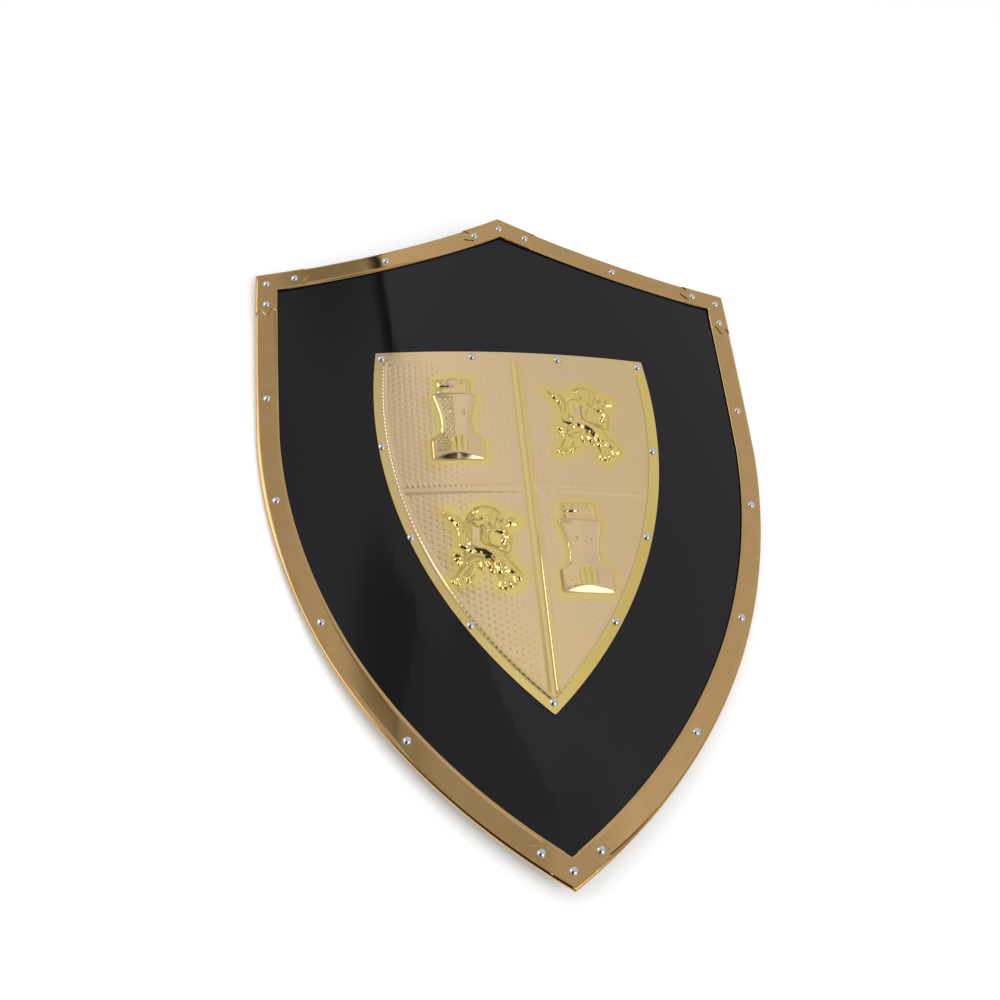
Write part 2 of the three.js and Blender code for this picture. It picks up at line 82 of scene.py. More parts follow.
topAt, topLength = arcEdge((0, 0), outline["corner"], outline["topSagitta"])
sideArcs = [
    arcEdge(outline["corner"], outline["shoulder"], outline["shoulderSagitta"]),
    arcEdge(outline["shoulder"], outline["flank"], outline["flankSagitta"]),
    arcEdge(outline["flank"], outline["tip"], outline["pointSagitta"]),
]
sideLength = sum(length for _, length in sideArcs)


def sideAt(s, depth):
    for at, length in sideArcs[:2]:
        if s <= length:
            return at(s, depth)
        s -= length
    return sideArcs[2][0](s, depth)


def meetings(depth):
    # where the edges moved in by a depth meet: peak on the top edge, corner on both, tip on the side edge
    peak, top, side, tip = depth * 0.4, topLength - depth, depth, sideLength - depth * 0.6
    for _ in range(60):
        peak -= topAt(peak, depth)[0] * 0.8
        tip += sideAt(tip, depth)[0] * 0.8
        p, q = topAt(top, depth), sideAt(side, depth)
        top += (q[0] - p[0]) * 0.7
        side += (q[1] - p[1]) * 0.7
    return {"peak": peak, "top": top, "side": side, "tip": tip}


def hexColour(text):
    # sRGB hex to the linear colour that sockets hold
    parts = [int(text[i:i + 2], 16) / 255 for i in (0, 2, 4)]
    return tuple(c / 12.92 if c <= 0.04045 else ((c + 0.055) / 1.055) ** 2.4 for c in parts) + (1.0,)


def addNode(tree, kind, settings, inputs):
    # adds a node, sets what it holds, and sets or links its inputs
    node = tree.nodes.new(kind)
    for name, value in settings.items():
        setattr(node, name, value)
    for name, value in inputs.items():
        if isinstance(value, bpy.types.NodeSocket):
            tree.links.new(value, node.inputs[name])
        else:
            node.inputs[name].default_value = value
    return node


def deselectAll():
    bpy.ops.object.select_all(action="DESELECT")


def coordinates(obj):
    flat = np.empty(len(obj.data.vertices) * 3)
    obj.data.vertices.foreach_get("co", flat)
    return flat.reshape(-1, 3)


def setCoordinates(obj, points):
    obj.data.vertices.foreach_set("co", np.asarray(points, float).ravel())
    obj.data.update()


def finishPiece(obj, name, material, nodes, smoothAngle=30):
    obj.name = obj.data.name = name
    obj.data.materials.clear()
    obj.data.materials.append(material)
    deselectAll()
    obj.select_set(True)
    bpy.context.view_layer.objects.active = obj
    bpy.ops.object.shade_smooth_by_angle(angle=math.radians(smoothAngle))
    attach(obj, "root")
    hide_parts(*nodes)


def newMaterial(name):
    # a fresh material, its node tree and its main shader
    material = bpy.data.materials.new(name)
    material.use_nodes = True
    tree = material.node_tree
    return material, tree, tree.nodes["Principled BSDF"]


def addNoise(tree, size, detail, roughness=0.5):
    # a noise with features of a size in millimetres
    place = addNode(tree, "ShaderNodeTexCoord", {}, {})
    return addNode(tree, "ShaderNodeTexNoise", {}, {
        "Vector": place.outputs["Object"], "Scale": 1 / (size * mm), "Detail": detail,
        "Roughness": roughness})


def linkShine(tree, shader, noise, limits):
    # lets the roughness wander between two limits with a noise
    shine = addNode(tree, "ShaderNodeMapRange", {}, {
        "Value": noise.outputs["Fac"], "From Min": 0.3, "From Max": 0.7,
        "To Min": limits[0], "To Max": limits[1]})
    tree.links.new(shine.outputs["Result"], shader.inputs["Roughness"])


def linkBump(tree, shader, noise, height):
    bump = addNode(tree, "ShaderNodeBump", {}, {
        "Height": noise.outputs["Fac"], "Distance": height * mm, "Strength": 1.0})
    tree.links.new(bump.outputs["Normal"], shader.inputs["Normal"])


# Materials: roughness runs from the first value to the second, and sizes are in millimetres
paint = {
    "colour": "131014", "ior": 1.375, "roughness": (0.03, 0.065), "cloudSize": 70.0,
    "grainSize": 1.6, "grainHeight": 0.0015,
}


def makePaint():
    # semi-gloss black enamel sprayed on steel: near black, with a faint orange peel in its reflections
    material, tree, shader = newMaterial("blackEnamel")
    shader.inputs["Base Color"].default_value = hexColour(paint["colour"])
    shader.inputs["IOR"].default_value = paint["ior"]
    linkShine(tree, shader, addNoise(tree, paint["cloudSize"], 4.0, 0.6), paint["roughness"])
    linkBump(tree, shader, addNoise(tree, paint["grainSize"], 3.0), paint["grainHeight"])
    return material


rimGilt = {
    "colour": "d4b281", "shade": "c9a064", "roughness": (0.025, 0.075), "hazeSize": 12.0,
    "waveSize": 45.0, "waveHeight": 0.12,
}


def makeRimGilt():
    # thin polished brass strip: nearly a mirror, with shallow waves left from folding it
    material, tree, shader = newMaterial("polishedBrass")
    haze = addNoise(tree, rimGilt["hazeSize"], 5.0, 0.65)
    colour = addNode(tree, "ShaderNodeMix", {"data_type": "RGBA"}, {
        "Factor": haze.outputs["Fac"], 6: hexColour(rimGilt["colour"]), 7: hexColour(rimGilt["shade"])})
    shader.inputs["Metallic"].default_value = 1.0
    tree.links.new(colour.outputs[2], shader.inputs["Base Color"])
    linkShine(tree, shader, haze, rimGilt["roughness"])
    linkBump(tree, shader, addNoise(tree, rimGilt["waveSize"], 2.0), rimGilt["waveHeight"])
    return material


# slope is the yellow of a painted reflection, and the brown one is painted shade
plateGilt = {
    "flat": "f1d4ac", "slope": "f9de79", "brownShade": "8f6a2c", "roughness": (0.11, 0.17),
    "hazeSize": 9.0, "mottle": 0.16,
}


def makePlateGilt():
    # gold-coloured plating on a pressed sheet: rosy on the flats, with a painted yellow reflection on the
    # slopes, round the figures and along the edges, and painted shade in brown in the fine grooves and along
    # outlines
    material, tree, shader = newMaterial("giltPressing")
    # the attributes hold painted light: a yellow reflection and a brown shade
    reflectedYellow = addNode(tree, "ShaderNodeAttribute", {"attribute_name": "reflectedYellow"}, {})
    creaseShade = addNode(tree, "ShaderNodeAttribute", {"attribute_name": "creaseShade"}, {})
    haze = addNoise(tree, plateGilt["hazeSize"], 4.0, 0.6)
    mottle = addNode(tree, "ShaderNodeMath", {"operation": "MULTIPLY_ADD"}, {
        0: haze.outputs["Fac"], 1: plateGilt["mottle"], 2: -plateGilt["mottle"] / 2})
    share = addNode(tree, "ShaderNodeMath", {"operation": "ADD", "use_clamp": True}, {
        0: reflectedYellow.outputs["Fac"], 1: mottle.outputs[0]})
    colour = addNode(tree, "ShaderNodeMix", {"data_type": "RGBA"}, {
        "Factor": share.outputs[0], 6: hexColour(plateGilt["flat"]), 7: hexColour(plateGilt["slope"])})
    # painted shade: brown laid over the colour where the shade attribute is set
    shaded = addNode(tree, "ShaderNodeMix", {"data_type": "RGBA"}, {
        "Factor": creaseShade.outputs["Fac"], 6: colour.outputs[2], 7: hexColour(plateGilt["brownShade"])})
    shader.inputs["Metallic"].default_value = 1.0
    tree.links.new(shaded.outputs[2], shader.inputs["Base Color"])
    linkShine(tree, shader, haze, plateGilt["roughness"])
    return material


nickel = {"colour": "dcdce4", "roughness": (0.07, 0.18), "hazeSize": 2.5}


def makeNickel():
    # nickel-plated steel: a bright cool mirror with a little haze
    material, tree, shader = newMaterial("nickelPlate")
    shader.inputs["Base Color"].default_value = hexColour(nickel["colour"])
    shader.inputs["Metallic"].default_value = 1.0
    linkShine(tree, shader, addNoise(tree, nickel["hazeSize"], 3.0), nickel["roughness"])
    return material


blackEnamel = makePaint()
polishedBrass = makeRimGilt()
giltPressing = makePlateGilt()
nickelPlate = makeNickel()
print("materials made")

# Body sheet
body = {"inset": 1.1, "thickness": 1.2, "step": 6.0, "strip": 8.0}


def makeBody():
    at = meetings(body["inset"])
    right = []
    for edge, first, last in ((topAt, at["peak"], at["top"]), (sideAt, at["side"], at["tip"])):
        count = round((last - first) / body["step"])
        right += [edge(first + (last - first) * i / count, body["inset"]) for i in range(count + 1)]
    right[0], right[-1] = (0.0, right[0][1]), (0.0, right[-1][1])
    cornerTwin = round((at["top"] - at["peak"]) / body["step"]) + 1
    del right[cornerTwin]
    points = right + [(-u, v) for u, v in right[-2:0:-1]]
    bpy.ops.mesh.primitive_circle_add(vertices=len(points), radius=0.3, fill_type="NGON")
    sheet = bpy.context.object
    setCoordinates(sheet, [(u * mm, v * mm, 0.0) for u, v in points])
    bpy.ops.object.mode_set(mode="EDIT")
    bpy.ops.mesh.select_all(action="SELECT")
    bpy.ops.mesh.extrude_region_move(TRANSFORM_OT_translate={"value": (0, 0, -body["thickness"] * mm)})
    lines = int(outline["corner"][0] / body["strip"])
    for i in range(-lines, lines + 1):
        bpy.ops.mesh.select_all(action="SELECT")
        bpy.ops.mesh.bisect(plane_co=(i * body["strip"] * mm, 0, 0), plane_no=(1, 0, 0))
    bpy.ops.mesh.select_all(action="SELECT")
    bpy.ops.mesh.remove_doubles(threshold=1e-6)
    bpy.ops.mesh.normals_make_consistent(inside=False)
    bpy.ops.object.mode_set(mode="OBJECT")
    setCoordinates(sheet, bend(coordinates(sheet) / mm))
    finishPiece(sheet, "bodySheet", blackEnamel, ["body_sheet"])


deselectAll()
makeBody()
print("body sheet made")

# Rim: a flange on the front, a rounded fold over the edge and a short return behind
rim = {
    "width": 20.0, "return": 6.0, "returnMiddle": 3.5, "metal": 0.8, "foldCentre": (1.7, -0.6),
    "stripFold": 1.7, "capFold": 2.5, "stripStart": 24.0, "stripStartPeak": 16.0, "stripEndTip": 20.0,
    "step": 5.0, "bevel": 0.2, "flangeRows": 26, "foldRows": 9, "armColumns": 16, "armCrowding": 0.8,
    # the flange's rounded inner edge as (short of the width, below the front), and where it turns flat
    "innerEdge": ((0.02, 0.3), (0.15, 0.08)), "flatFrom": 0.4,
}
arms = {"corner": 44.0, "peak": 38.5, "tip": 39.0}
# how far an arm's end reaches past its length, by depth: spikes at both edges, notches, a tongue between
armEnd = {
    "depth": (-1.1, 0.8, 2.4, 4.0, 4.9, 6.0, 7.2, 8.6, 10.0, 11.4, 12.8, 14.1, 15.2, 16.2, 17.7, 19.2, 20.0),
    "reach": (2.6, 1.0, -0.7, -1.9, -2.1, -0.6, 1.9, 4.2, 5.8, 4.2, 1.9, -0.6, -2.1, -1.9, -0.7, 1.4, 2.6),
}


def foldProfile(fold, flangeRows):
    # (depth, w, whether on the front) from the flange's inner edge, round the edge, to the return's
    centreDepth, centreW = rim["foldCentre"]
    rows = [(rim["width"] - short, centreW + fold - below, 1) for short, below in rim["innerEdge"]]
    flat = rim["width"] - rim["flatFrom"]
    for i in range(flangeRows + 1):
        rows.append((flat + (centreDepth - flat) * i / flangeRows, centreW + fold, 1))
    for i in range(1, rim["foldRows"]):
        angle = math.pi * i / rim["foldRows"]
        rows.append((centreDepth - fold * math.sin(angle), centreW + fold * math.cos(angle), 0))
    for depth in (centreDepth, rim["returnMiddle"], rim["return"]):
        rows.append((depth, centreW - fold, 0))
    return rows


def makeFolded(columns, rows, placeAt, flip):
    # a grid laid out by placeAt(column, row), bent, thickened inwards and edge-bevelled
    bpy.ops.mesh.primitive_grid_add(x_subdivisions=columns - 1, y_subdivisions=rows - 1, size=0.1)
    sheet = bpy.context.object
    start = coordinates(sheet)
    order = np.round((start + 0.05) / 0.1 * [columns - 1, rows - 1, 0]).astype(int)
    setCoordinates(sheet, bend([placeAt(i, j) for i, j, _ in order]))
    bpy.ops.object.mode_set(mode="EDIT")
    bpy.ops.mesh.select_all(action="SELECT")
    if flip:
        bpy.ops.mesh.flip_normals()
    bpy.ops.object.mode_set(mode="OBJECT")
    thicken = sheet.modifiers.new("thicken", "SOLIDIFY")
    thicken.thickness = rim["metal"] * mm
    thicken.offset = -1
    bpy.ops.object.modifier_apply(modifier="thicken")
    soften = sheet.modifiers.new("soften", "BEVEL")
    soften.width = rim["bevel"] * mm
    soften.segments = 2
    soften.limit_method = "ANGLE"
    soften.angle_limit = math.radians(50)
    bpy.ops.object.modifier_apply(modifier="soften")
    return sheet


def makeStrip(name, edge, first, last, side):
    profile = foldProfile(rim["stripFold"], 6)
    columns = round((last - first) / rim["step"]) + 1

    def placeAt(i, j):
        depth, w, _ = profile[j]
        u, v = edge(first + (last - first) * i / (columns - 1), depth)
        return side * u, v, w

    strip = makeFolded(columns, len(profile), placeAt, side > 0)
    finishPiece(strip, name, polishedBrass, [name])


def makeCap(name, legs, arm, sides):
    # legs: for each arm, its edge, the way it runs from the corner and where it starts at a depth
    profile = foldProfile(rim["capFold"], rim["flangeRows"])
    half = rim["armColumns"]
    starts = [[leg[2](depth) for depth, _, _ in profile] for leg in legs]
    ends = [leg[2](0) + leg[1] * arm for leg in legs]

    def placeAt(i, j):
        depth, w, front = profile[j]
        leg = 0 if i < half else 1
        along = abs(i - half) / half
        edge, way, _ = legs[leg]
        reach = np.interp(depth, armEnd["depth"], armEnd["reach"]) if front else armEnd["reach"][0] * (w > 0)
        last = ends[leg] + way * reach
        # the columns crowd a little towards the shaped end
        u, v = edge(starts[leg][j] + (last - starts[leg][j]) * along ** rim["armCrowding"], depth)
        return (0.0 if along == 0 and sides[0] != sides[1] else sides[leg] * u), v, w

    cap = makeFolded(2 * half + 1, len(profile), placeAt, sides[1] > 0)
    finishPiece(cap, name, polishedBrass, [name])


for word, side in (("right", 1), ("left", -1)):
    makeStrip(f"rim_strip_top_{word}", topAt, rim["stripStartPeak"], topLength - rim["stripStart"], side)
    makeStrip(f"rim_strip_side_{word}", sideAt, rim["stripStart"], sideLength - rim["stripEndTip"], side)
    makeCap(f"rim_corner_{word}", [(topAt, -1, lambda d: meetings(d)["top"]),
                                   (sideAt, 1, lambda d: meetings(d)["side"])], arms["corner"], (side, side))
makeCap("rim_corner_peak", [(topAt, 1, lambda d: meetings(d)["peak"])] * 2, arms["peak"], (-1, 1))
makeCap("rim_corner_tip", [(sideAt, -1, lambda d: meetings(d)["tip"])] * 2, arms["tip"], (1, -1))
print("rim made")

# Embossed plate
plate = {
    "top": -165.0, "half": 127.5, "tip": -517.5, "pull1": (143.8, -288.4), "pull2": (105.9, -420.1),
    "under": 0.3, "face": 1.1, "gridHalf": 132.5, "columnStep": 10.4 / 14, "rowStep": 0.99,
    "backStrip": 10.0, "backShift": 0.37,
}
# the bead inside the margin, fuller beside the lower lion and sharper towards the tip
border = {
    "inset": 9.4, "width": 0.95, "height": 0.88, "beat": 3.96, "rightShare": 0.4, "topEnd": -182.0,
    "fullAt": -385.0, "fullReach": 40.0, "fullGain": 0.35, "sharpFrom": -330.0, "sharpReach": 70.0,
}
# the upright bar with a rib beside its middle, and the cross bar with a stitched line along its top
bars = {
    "centre": 1.4, "half": 5.2, "flat": 1.6, "height": 0.3,
    "rib": 4.6, "ribHeight": 0.16, "ribGain": 0.94, "ribFlanks": (1.9, 3.0),
    # the stripes are lines of painted yellow reflection, and the pair after them lines of painted brown shade
    "stripes": (-1.7, 4.7), "shadeLines": (-3.4, 2.2),
    "crossTop": -307.6, "crossFoot": -315.4, "crossHeight": 0.3, "crossReach": 111.0,
    "stitchHeight": 0.45, "stitch": 4.6,
}
# painted reflection: how yellow the margin is, what the right side adds, and what is taken off its rosy inner
# band
margin = {"yellow": 0.62, "rightGain": 0.2, "rosy": 0.42, "rosyFrom": 3.0, "rosyFoot": -430.0}
# painted reflection: how yellow the ground is, and what it gains to the right and towards the tip as (from,
# reach, gain)
ground = {"yellow": 0.08, "right": (40.0, 70.0, 0.17), "tip": (-410.0, 60.0, 0.15)}
stipple = {"across": 10.4, "down": 2.97, "radius": 0.86, "depth": 0.2}
# round a figure: a painted yellow reflection as (reach, strength), and a swell of the ground
halo = {"tower": (7.5, 0.75), "lion": (7.5, 0.85), "swellReach": 13.0, "swell": 0.2}


def plateSide(count=600):
    # the right edge of the plate, from its top corner to its tip
    t = np.linspace(0, 1, count)[:, None]
    ends = np.array([(plate["half"], plate["top"]), plate["pull1"], plate["pull2"], (0.0, plate["tip"])])
    return ((1 - t) ** 3 * ends[0] + 3 * t * (1 - t) ** 2 * ends[1]
            + 3 * t * t * (1 - t) * ends[2] + t ** 3 * ends[3])


plateEdge = plateSide()


def smooth(x):
    x = np.clip(x, 0, 1)
    return x * x * (3 - 2 * x)


def ridge(distance, width):
    # 1 on a line, falling away on both sides of it
    return np.exp(-(distance / width) ** 2)


def halfWidth(v):
    return np.interp(-v, -plateEdge[:, 1], plateEdge[:, 0])


def toLimb(u, v, a, b, ra, rb):
    # distance from the line between a and b, and the radius there, from ra at a to rb at b
    t = np.clip(((u - a[0]) * (b[0] - a[0]) + (v - a[1]) * (b[1] - a[1]))
                / ((b[0] - a[0]) ** 2 + (b[1] - a[1]) ** 2), 0, 1)
    return np.hypot(u - a[0] - t * (b[0] - a[0]), v - a[1] - t * (b[1] - a[1])), ra + t * (rb - ra)


def lineDistance(u, v, line):
    nearest = np.full(u.shape, 1e9)
    for a, b in zip(line, line[1:]):
        nearest = np.minimum(nearest, toLimb(u, v, a, b, 1, 1)[0])
    return nearest


def plateDepth(u, v):
    # distance in from the plate's edge
    return np.minimum(lineDistance(np.abs(u), v, plateEdge[::12]), plate["top"] - v)


# Lion rampant in the top right quarter: limbs as (from, to, radius at each, height)
lion = {
    "shoulder": 6.5, "rise": 1.15, "studStretch": 1.25, "foldReach": 4.5,
    # the colours below are painted light: a yellow reflection, a rosy flank, and paler painted highlights on
    # the folds and studs
    "rosyFlank": {"at": (54.0, -229.0), "reach": (9.0, 13.0)}, "yellow": 0.9, "rosy": 0.65, "paleHighlight": 0.4,
    "limbs": [
        ((55, -219), (54, -237), 10.5, 9.5, 1.0),     # flank
        ((62, -212), (58, -216), 11.0, 11.5, 1.3),    # mane
        ((68, -211), (72, -213), 8.5, 6.3, 1.5),      # head
        ((73, -215), (77, -217), 3.6, 2.4, 1.9),      # muzzle
        ((54, -208.5), (57, -207), 2.2, 1.7, 2.1),    # ears
        ((58.5, -213.5), (60.5, -215), 1.6, 1.4, 2.0),
        ((68, -222), (70, -236), 11.5, 11.0, 1.6),    # chest and shoulder
        ((64, -226.5), (66, -229), 1.5, 1.3, 2.2),
        ((74, -222), (84, -218), 3.8, 3.0, 1.1),      # upper foreleg
        ((83.5, -216.5), (86.5, -214.5), 2.1, 1.7, 1.5),
        ((84.5, -219), (88.5, -219.5), 2.1, 1.7, 1.5),
        ((71, -226), (77, -229), 4.4, 3.4, 2.4),      # lower foreleg
        ((75, -225), (79, -228), 2.2, 1.7, 2.9),
        ((77, -231.0), (80.5, -232), 2.3, 1.8, 2.9),
        ((75, -236), (80, -237), 2.3, 1.8, 2.6),
        ((51, -238), (62, -244), 6.8, 6.4, 1.7),      # loins
        ((62, -246), (75, -253), 7.6, 7.0, 1.5),      # hind leg to the right
        ((75, -254), (85, -266), 6.0, 3.6, 1.1),
        ((62, -256), (63.5, -259), 2.8, 2.5, 2.0),    # knees
        ((69, -255), (71.5, -260), 3.0, 2.8, 2.2),
        ((75, -259), (77.5, -262), 2.6, 2.3, 1.9),
        ((84.5, -269), (88, -271.5), 2.2, 1.8, 1.5),
        ((83, -270), (83.5, -274), 2.0, 1.6, 1.5),
        ((71, -260), (74, -272), 4.6, 3.8, 0.9),
        ((71.5, -274), (70.5, -278), 2.4, 2.0, 1.5),
        ((75, -275), (75.5, -279.5), 2.1, 1.8, 1.5),
        ((77.5, -273.5), (80, -277.5), 2.1, 1.6, 1.4),
        ((55, -249), (46, -256), 5.8, 4.8, 1.2),      # hind leg to the left
        ((46, -256), (37.5, -267), 4.6, 3.4, 0.9),
        ((36.5, -268), (31.5, -272), 2.3, 1.8, 1.4),
        ((38, -269.5), (35.5, -274.5), 2.1, 1.7, 1.4),
        ((50, -259), (46, -269), 3.6, 2.8, 0.9),
        ((45.5, -268), (44, -272), 2.5, 2.1, 1.6),
        ((56, -256), (56.5, -261), 1.9, 1.6, 1.5),
        ((48, -246), (40, -250), 3.6, 2.8, 1.0),      # paw behind
        ((39, -249), (34.5, -248), 1.9, 1.5, 1.4),
        ((39, -251.5), (35, -252.3), 1.9, 1.5, 1.4),
        ((40, -253.5), (37, -255.7), 1.9, 1.5, 1.3),
        ((48, -242.5), (40, -239), 3.4, 2.4, 0.6),    # tail
        ((40, -239), (40.5, -228), 2.2, 2.4, 0.5),
        ((40.5, -228), (38.5, -218), 2.5, 3.4, 0.7),
        ((38.5, -218), (33.5, -212.5), 3.4, 2.6, 0.8),
        ((33, -212), (28.5, -207.5), 2.4, 1.6, 0.6),
    ],
    # folds as (points, height, width at each end): high on the upper side, dropping sharply below the line
    "folds": [
        ([(46.5, -243.0), (52, -244.5), (59.5, -245), (65, -249), (67, -253)], 2.0, 4.2, 1.8),
        ([(60, -259.5), (64, -261.5), (69, -262.5), (74, -263.5), (78, -264.5)], 0.4, 2.2, 1.8),
        ([(47, -239), (54, -240.5)], 0.4, 1.5, 1.2),
    ],
    # small studs as (u, v, radius, height): tufts, claws and knees, each catching a dark and a bright spot
    "studs": [
        (29.2, -207.2, 1.5, 0.4), (31.8, -210.0, 1.6, 0.5), (34.2, -213.6, 2.4, 1.2),
        (38.3, -218.6, 2.5, 1.4), (40.4, -223.8, 1.8, 0.4), (40.1, -229.0, 1.4, 0.4),
        (40.2, -239.6, 1.7, 0.4), (52.9, -207.4, 1.8, 0.6), (56.2, -206.6, 1.8, 0.6),
        (59.4, -213.4, 1.7, 0.5), (53.1, -213.2, 1.4, 0.4), (66.3, -214.2, 1.4, 0.4),
        (72.2, -214.8, 1.4, 0.4), (78.4, -211.3, 1.7, 0.5), (83.7, -217.4, 2.3, 0.8),
        (88.3, -216.8, 1.8, 0.6), (84.4, -221.0, 1.5, 0.4), (65.2, -226.6, 2.0, 0.7),
        (63.8, -229.6, 1.4, 0.4), (75.7, -227.2, 2.5, 1.2), (76.2, -232.8, 1.7, 0.5),
        (76.6, -237.4, 2.5, 1.5), (44.6, -238.0, 1.7, 0.5), (48.6, -237.8, 2.1, 0.7),
        (35.4, -247.6, 1.8, 0.6), (37.0, -251.4, 1.8, 0.6), (37.9, -254.7, 1.7, 0.6),
        (45.3, -256.8, 1.7, 0.5), (54.2, -259.4, 1.8, 0.7), (61.8, -250.2, 1.6, 0.5),
        (63.2, -259.2, 2.1, 0.7), (65.2, -263.4, 2.5, 1.4), (70.0, -258.0, 2.4, 1.3),
        (70.9, -264.2, 2.5, 1.7), (76.4, -263.6, 2.5, 1.4), (74.4, -268.0, 1.7, 0.5),
        (82.6, -268.4, 1.5, 0.4), (86.0, -270.8, 2.0, 0.7), (71.4, -279.2, 1.7, 0.5),
        (74.8, -278.4, 2.3, 1.2), (79.4, -277.8, 2.0, 0.7), (83.4, -276.4, 1.4, 0.4),
        (31.6, -272.8, 1.8, 0.6), (35.6, -274.2, 1.8, 0.6), (44.4, -270.2, 2.5, 1.3),
        (49.0, -267.2, 1.4, 0.4), (46.2, -272.6, 1.4, 0.4),
    ],
    # grooves as (points, half width, depth, how much painted brown shade lies in them)
    "creases": [
        ([(58, -222), (57.3, -236), (60.9, -240), (69.1, -242.7), (73.6, -245), (78.2, -247.4)],
         0.9, 0.35, 0.6),
        ([(78.2, -247.4), (81.4, -245.9), (82.7, -239.5), (84.0, -231.4)], 0.8, 0.15, 0.35),
        ([(53.6, -204.3), (60.0, -202.8), (65.5, -203.1), (70.5, -204.9), (74.5, -208.6)], 0.8, 0.2, 0.6),
        ([(78.0, -214.5), (74.5, -218.6)], 0.8, 0.2, 0.45),
        ([(38.6, -211.4), (41.8, -215.5), (43.8, -219.5), (42.2, -228.6)], 0.8, 0.15, 0.4),
        ([(47.3, -217.7), (50.9, -216.2), (57.0, -216.6)], 0.8, 0.25, 0.45),
        ([(64.5, -219.5), (66.6, -224.0)], 0.8, 0.3, 0.5),
        ([(68, -224), (71, -218), (72.5, -212)], 0.8, 0.3, 0.3),
        ([(64, -222), (67, -215), (68, -208)], 0.8, 0.2, 0.2),
        ([(75.5, -248.6), (80.0, -255.9), (83.6, -260.5), (89.0, -266.8)], 0.8, 0.25, 0.4),
        ([(42.7, -245.9), (41.8, -253.2)], 0.8, 0.2, 0.4),
        ([(45.5, -254.5), (50.0, -252.3), (55.0, -251.4)], 1.1, 0.4, 0.35),
        ([(59.0, -257.7), (63.6, -255.0)], 0.9, 0.3, 0.3),
        ([(38.5, -259.5), (34.5, -267.0)], 0.8, 0.2, 0.3),
    ],
}

# Tower in the top left quarter
tower = {
    "middle": -59.25, "height": 1.5, "chamfer": 2.1, "softWall": 5.0, "footWall": 1.4,
    # half widths from the foot up, as (v, half width)
    "profile": [
        (-283.0, 23.0), (-262.0, 23.0), (-255.0, 15.0), (-246.0, 13.6), (-236.0, 14.4), (-226.0, 16.6),
        (-217.0, 19.2), (-214.0, 19.2), (-212.6, 15.2), (-199.5, 14.8), (-197.5, 14.6),
    ],
    # the foot swells to a height in its middle and at its ends, over a ledge of a depth at each
    "swellFrom": -244.0, "swellReach": 30.0, "footEnd": -282.6, "footHalf": 23.0,
    "ledgeHeight": (3.3, 1.0), "ledgeDepth": (6.1, 2.0), "ledgeSteeper": 0.35,
    # merlons: their tops, the middle one's half width and rounding, and the gaps between them
    "merlonTop": -197.4, "middleTop": -195.8, "middleHalf": 5.2, "middleRound": 2.2, "crown": 3.0,
    "gapAt": 6.6, "gapHalf": 1.4, "gapFoot": -203.5, "gapShare": 0.45,
    # mouldings as (foot, its softness, top, its softness, margin at the sides, its softness, height)
    "mouldings": [(-207.6, 2.6, -202.0, 2.0, 1.5, 2.0, 0.2), (-213.5, 1.5, -210.5, 1.5, 1.0, 2.0, 0.35)],
    # a dent as its place, its reach along and across, and how steeply its floor tips
    "dent": {"at": (-66.3, -205.3), "reach": (5.2, 1.7), "steep": 0.72},
    # the left face: how far it is cut back per millimetre from its edge, up to a reach
    "face": {"edge": -60.5, "slope": 0.055, "reach": 12.0, "top": -214.0},
    "door": {"middle": -58.5, "half": 7.6, "foot": -275.4, "spring": -264.5, "arch": 7.5, "depth": 0.25},
    "posts": (-61.1, -55.7),
    "windows": [(-64.5, -232.5), (-52.0, -233.5)], "windowDepth": 0.7, "windowReach": (0.9, 2.4),
    "brick": {"depth": 0.3, "course": 2.97, "length": 4.4, "stagger": 2.2, "joint": 0.7, "head": 0.8},
}
quarterShift = {"tower": (101.0, -129.3), "lion": (-103.5, -127.5)}


def lionHeight(u, v):
    # height of the lion, distance outside its outline, how yellow its painted reflection is, and how much
    # painted brown shade it takes
    height, outside, creaseShade = np.zeros(u.shape), np.full(u.shape, 1e9), np.zeros(u.shape)
    paleHighlight = np.zeros(u.shape)
    for a, b, ra, rb, top in lion["limbs"]:
        away, radius = toLimb(u, v, a, b, ra, rb)
        inward = np.clip((radius - away) / np.minimum(radius, lion["shoulder"]), 0, 1)
        height = np.maximum(height, lion["rise"] * top * np.sin(inward * np.pi / 2))
        outside = np.minimum(outside, away - radius)
    for line, rise, first, last in lion["folds"]:
        nearest, side, drop = np.full(u.shape, 1e9), np.zeros(u.shape), np.ones(u.shape)
        for i, (a, b) in enumerate(zip(line, line[1:])):
            away, _ = toLimb(u, v, a, b, 1, 1)
            above = (b[0] - a[0]) * (v - a[1]) - (b[1] - a[1]) * (u - a[0]) > 0
            closer = away < nearest
            nearest = np.where(closer, away, nearest)
            side = np.where(closer, above, side)
            drop = np.where(closer, first + (last - first) * i / (len(line) - 1), drop)
        upper = ridge(nearest, lion["foldReach"])
        lower = 1 - smooth(nearest / drop)
        height += rise * np.where(side > 0, upper, lower) * smooth(-outside / 2)
        paleHighlight = np.maximum(paleHighlight, smooth(1.6 - nearest / 2))
    for line, width, depth, brownShade in lion["creases"]:
        fall = ridge(lineDistance(u, v, line), width)
        height -= depth * fall * smooth(height)
        creaseShade = np.maximum(creaseShade, brownShade * fall)
    for a, b, radius, top in lion["studs"]:
        away = np.hypot((u - a) / lion["studStretch"], v - b)
        height += top * np.clip(1 - (away / radius) ** 2, 0, 1) ** 1.3
        outside = np.minimum(outside, away - radius)
        paleHighlight = np.maximum(paleHighlight, smooth(2.2 * (1 - away / radius)))
    # painted reflection: rosier on the flank; painted highlight: paler on the folds and studs, so that their
    # highlights show cream
    flankU, flankV = lion["rosyFlank"]["at"]
    reachU, reachV = lion["rosyFlank"]["reach"]
    rosy = lion["rosy"] * smooth(1 - np.hypot((u - flankU) / reachU, (v - flankV) / reachV))
    return height, outside, (lion["yellow"] - rosy) * (1 - lion["paleHighlight"] * paleHighlight), creaseShade


